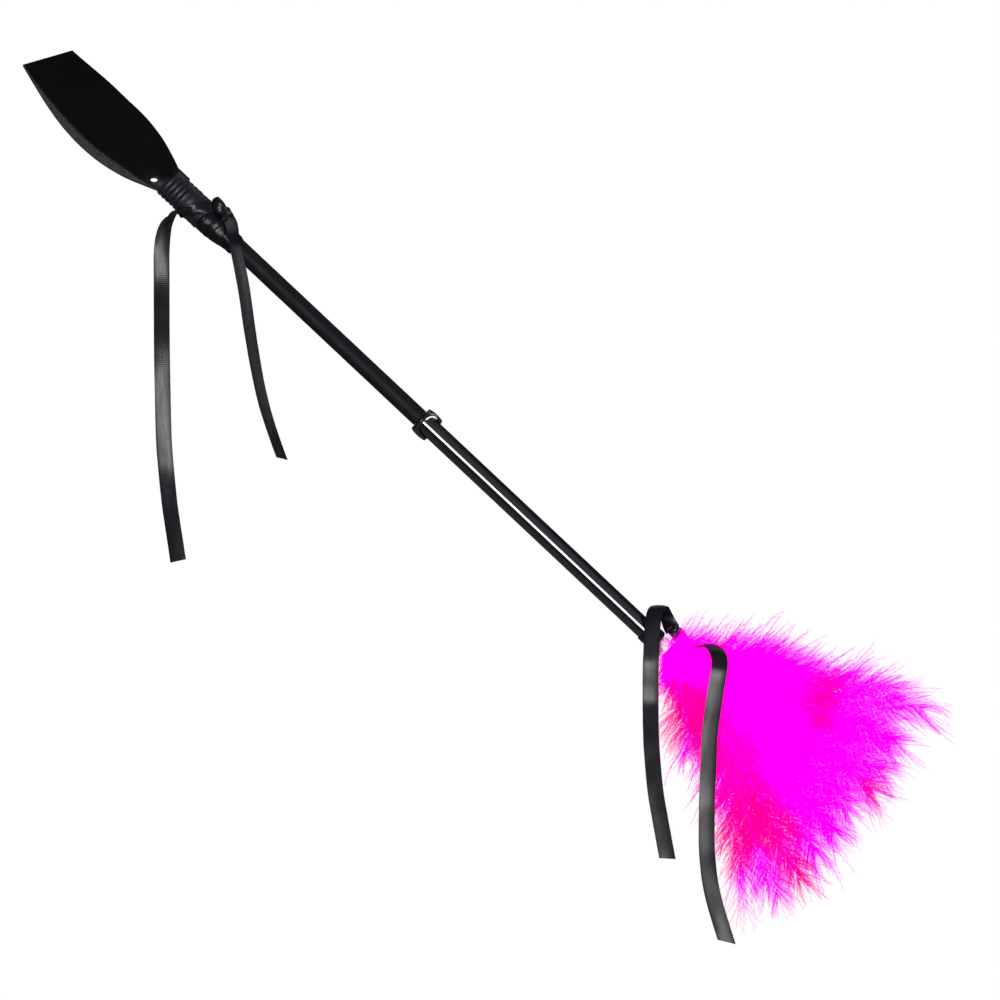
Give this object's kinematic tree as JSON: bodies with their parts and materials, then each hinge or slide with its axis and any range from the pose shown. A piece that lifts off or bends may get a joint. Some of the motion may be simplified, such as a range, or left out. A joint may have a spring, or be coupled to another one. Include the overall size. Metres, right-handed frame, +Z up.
{
  "type": "short riding crop with feather plume",
  "caption": "Short hand-held crop: sprung shaft with a folded leather flapper at one end, a feather plume at the other, and ribbon ties with hanging tails.",
  "frame": {"origin": "centreline of the shaft at the grip, where a hand holds it, mount grip", "axes": "+X towards the plume across the page, -Y towards the viewer, +Z up; the shaft lies in the XZ plane and falls 43.2 degrees towards +X, and the ribbons hang along -Z"},
  "size_m": [0.4307, 0.0445, 0.4183],
  "materials": {
    "fibreglass_rod": "satin",
    "matte_sleeve": "matte",
    "gloss_tube": "gloss",
    "collar_plastic": "gloss",
    "black_leather": "satin",
    "waxed_lace": "satin",
    "gloss_wrap": "gloss",
    "satin_ribbon": "satin",
    "pale_thread": "satin",
    "dyed_quill": "satin",
    "dyed_feather": "matte"
  },
  "bodies": {
    "crop": {"core_rod": "fibreglass_rod", "upper_sleeve": "matte_sleeve", "lower_sleeve": "gloss_tube", "joint_collar": "collar_plastic", "quill_bundle": "dyed_quill", "quill_thread": "pale_thread", "flapper_end_front": "black_leather", "flapper_end_back": "black_leather", "binding_lace": "waxed_lace", "binding_tape": "waxed_lace", "taper_wrap": "gloss_wrap", "tip_ribbon_cross": "satin_ribbon", "tip_ribbon_knot": "satin_ribbon", "butt_ribbon_band": "satin_ribbon", "butt_ribbon_loop": "satin_ribbon", "butt_ribbon_knot": "satin_ribbon", "butt_ribbon_lead": "satin_ribbon"},
    "flapper": {"flapper_loop": "black_leather"},
    "tip_long_tail": {"tip_ribbon_long_tail": "satin_ribbon"},
    "tip_short_tail": {"tip_ribbon_short_tail": "satin_ribbon"},
    "butt_left_tail": {"butt_ribbon_left_tail": "satin_ribbon"},
    "butt_right_tail": {"butt_ribbon_right_tail": "satin_ribbon"},
    "plume": {"feather_front_1": "dyed_feather", "feather_front_2": "dyed_feather", "feather_front_3": "dyed_feather", "feather_front_4": "dyed_feather", "feather_middle_1": "dyed_feather", "feather_middle_2": "dyed_feather", "feather_middle_3": "dyed_feather", "feather_middle_4": "dyed_feather", "feather_middle_5": "dyed_feather", "feather_back_1": "dyed_feather", "feather_back_2": "dyed_feather", "feather_back_3": "dyed_feather", "feather_back_4": "dyed_feather"}
  },
  "joints": [
    {"name": "flapper_flex", "type": "hinge", "parent": "crop", "child": "flapper", "pos_m": [-0.1162, 0, 0.10912], "axis": [0.6301, 0.3907, 0.671], "range_deg": [-30, 30], "stiffness_Nm_per_rad": 0.03, "springref_deg": 0.95},
    {"name": "tip_long_tail_swing", "type": "hinge", "parent": "crop", "child": "tip_long_tail", "pos_m": [-0.1124, -0.0012, 0.0896], "axis": [0, 1, 0], "range_deg": [-25, 30], "stiffness_Nm_per_rad": 0.0003, "springref_deg": 1.01},
    {"name": "tip_short_tail_swing", "type": "hinge", "parent": "crop", "child": "tip_short_tail", "pos_m": [-0.0866, -0.0114, 0.094], "axis": [0, 1, 0], "range_deg": [-25, 25], "stiffness_Nm_per_rad": 0.0006, "springref_deg": -1.87},
    {"name": "butt_left_tail_swing", "type": "hinge", "parent": "crop", "child": "butt_left_tail", "pos_m": [0.1132, -0.0069, -0.1129], "axis": [0, 1, 0], "range_deg": [-3, 30], "stiffness_Nm_per_rad": 0.0003, "springref_deg": -0.33},
    {"name": "butt_right_tail_swing", "type": "hinge", "parent": "crop", "child": "butt_right_tail", "pos_m": [0.1449, -0.0203, -0.117], "axis": [0, 1, 0], "range_deg": [-25, 25], "stiffness_Nm_per_rad": 0.0003, "springref_deg": 1.28},
    {"name": "plume_sway", "type": "hinge", "parent": "crop", "child": "plume", "pos_m": [0.12072, 0, -0.11336], "axis": [0, 1, 0], "range_deg": [-25, 8], "stiffness_Nm_per_rad": 0.06, "springref_deg": -8.93}
  ]
}
